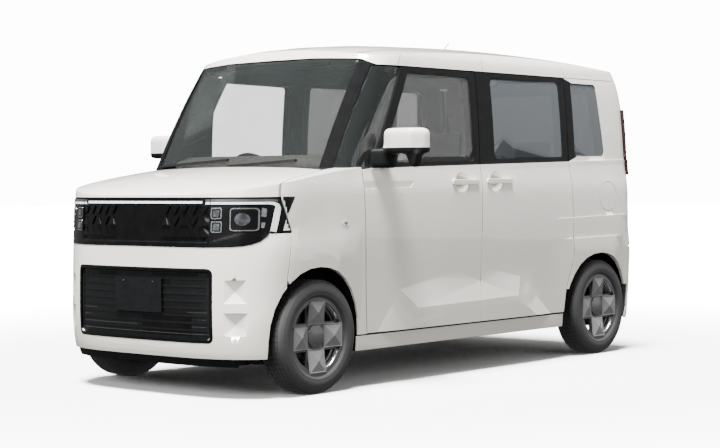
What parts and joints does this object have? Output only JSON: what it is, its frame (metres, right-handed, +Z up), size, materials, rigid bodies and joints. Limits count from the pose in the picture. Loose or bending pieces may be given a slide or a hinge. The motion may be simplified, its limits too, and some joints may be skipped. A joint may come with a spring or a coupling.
{
  "type": "kei car",
  "caption": "Tall boxy kei car with hollow cabin, opening front doors, bonnet, tailgate and fuel lid, steered front wheels and four rolling wheels.",
  "frame": {"origin": "ground level under the centre of the body", "axes": "+Z up, +Y towards the rear, +X towards the side of the car seen in the picture, its own left"},
  "size_m": [1.974, 3.3954, 1.8526],
  "materials": {
    "black_gloss": "gloss",
    "black_paint": "satin",
    "black_plastic": "matte",
    "cabin_trim": "matte",
    "cast_block": "matte",
    "grey_primer": "satin",
    "lamp_lens": "clear",
    "pearl_paint": "gloss",
    "pearl_plastic": "gloss",
    "plate_white": "matte",
    "privacy_glass": "dark",
    "seat_cloth": "matte",
    "steel": "satin",
    "tail_lens": "clear",
    "tinted_glass": "clear",
    "tyre_rubber": "matte",
    "wheel_grey": "satin"
  },
  "bodies": {
    "body": {"arch_liners": "black_plastic", "body_side_frames": "grey_primer", "bumpers": "pearl_plastic", "cowl_panel": "black_plastic", "dashboard": "cabin_trim", "engine": "cast_block", "exhaust": "steel", "front_fenders": "pearl_paint", "front_pillars": "black_paint", "front_quarter_glass": "tinted_glass", "front_seats": "seat_cloth", "front_suspension": "black_paint", "fuel_tank": "black_plastic", "grilles": "black_gloss", "headlamps": "lamp_lens", "number_plate_front": "plate_white", "platform": "grey_primer", "rear_axle": "black_paint", "rear_quarter_panels": "pearl_paint", "rear_seat": "seat_cloth", "rear_side_glass": "privacy_glass", "roof_aerial": "black_plastic", "roof_panel": "pearl_paint", "sill_covers": "pearl_plastic", "sliding_doors": "pearl_paint", "tail_lamps": "tail_lens", "windscreen": "tinted_glass", "wipers": "black_plastic"},
    "bonnet": {"bonnet": "pearl_paint"},
    "front_door_left": {"front_door_left": "pearl_paint", "front_door_glass_left": "tinted_glass", "door_mirror_left": "pearl_plastic"},
    "front_door_right": {"front_door_right": "pearl_paint", "front_door_glass_right": "tinted_glass", "door_mirror_right": "pearl_plastic"},
    "tailgate": {"tailgate": "pearl_paint", "tailgate_glass": "privacy_glass"},
    "fuel_lid": {"fuel_lid": "pearl_paint"},
    "steering_wheel": {"steering_wheel": "cabin_trim"},
    "knuckle_left": {"front_knuckle_left": "steel"},
    "knuckle_right": {"front_knuckle_right": "steel"},
    "wheel_front_left": {"front_rim_left": "wheel_grey", "front_tyre_left": "tyre_rubber"},
    "wheel_front_right": {"front_rim_right": "wheel_grey", "front_tyre_right": "tyre_rubber"},
    "wheel_rear_left": {"rear_rim_left": "wheel_grey", "rear_tyre_left": "tyre_rubber"},
    "wheel_rear_right": {"rear_rim_right": "wheel_grey", "rear_tyre_right": "tyre_rubber"}
  },
  "joints": [
    {"name": "front_door_left_hinge", "type": "hinge", "parent": "body", "child": "front_door_left", "pos_m": [0.71591, -0.81493, 0.76], "axis": [0, 0, -1], "range_deg": [0, 65]},
    {"name": "front_door_right_hinge", "type": "hinge", "parent": "body", "child": "front_door_right", "pos_m": [-0.71591, -0.81493, 0.76], "axis": [0, 0, 1], "range_deg": [0, 65]},
    {"name": "bonnet_hinge", "type": "hinge", "parent": "body", "child": "bonnet", "pos_m": [0, -1.10596, 1.08506], "axis": [-1, 0, 0], "range_deg": [0, 55]},
    {"name": "tailgate_hinge", "type": "hinge", "parent": "body", "child": "tailgate", "pos_m": [0, 1.48998, 1.75698], "axis": [1, 0, 0], "range_deg": [0, 85]},
    {"name": "fuel_lid_hinge", "type": "hinge", "parent": "body", "child": "fuel_lid", "pos_m": [0.73751, 1.31801, 0.93195], "axis": [0, 0, -1], "range_deg": [0, 90]},
    {"name": "steering_turn", "type": "hinge", "parent": "body", "child": "steering_wheel", "pos_m": [-0.345, -0.48989, 1.01495], "axis": [0, 0.8829, 0.4695], "range_deg": [-510, 510]},
    {"name": "knuckle_left_steer", "type": "hinge", "parent": "body", "child": "knuckle_left", "pos_m": [0.6, -1.182, 0.2778], "axis": [0, 0, 1], "range_deg": [-34, 34]},
    {"name": "knuckle_right_steer", "type": "hinge", "parent": "body", "child": "knuckle_right", "pos_m": [-0.6, -1.182, 0.2778], "axis": [0, 0, 1], "range_deg": [-34, 34]},
    {"name": "wheel_front_left_roll", "type": "hinge", "parent": "knuckle_left", "child": "wheel_front_left", "pos_m": [0.65, -1.182, 0.2778], "axis": [1, 0, 0], "continuous": true},
    {"name": "wheel_front_right_roll", "type": "hinge", "parent": "knuckle_right", "child": "wheel_front_right", "pos_m": [-0.65, -1.182, 0.2778], "axis": [1, 0, 0], "continuous": true},
    {"name": "wheel_rear_left_roll", "type": "hinge", "parent": "body", "child": "wheel_rear_left", "pos_m": [0.65, 1.313, 0.2778], "axis": [1, 0, 0], "continuous": true},
    {"name": "wheel_rear_right_roll", "type": "hinge", "parent": "body", "child": "wheel_rear_right", "pos_m": [-0.65, 1.313, 0.2778], "axis": [1, 0, 0], "continuous": true}
  ],
  "couplings": [
    {"joint": "knuckle_left_steer", "follows": "steering_turn", "ratio": 0.0666},
    {"joint": "knuckle_right_steer", "follows": "steering_turn", "ratio": 0.0666}
  ]
}
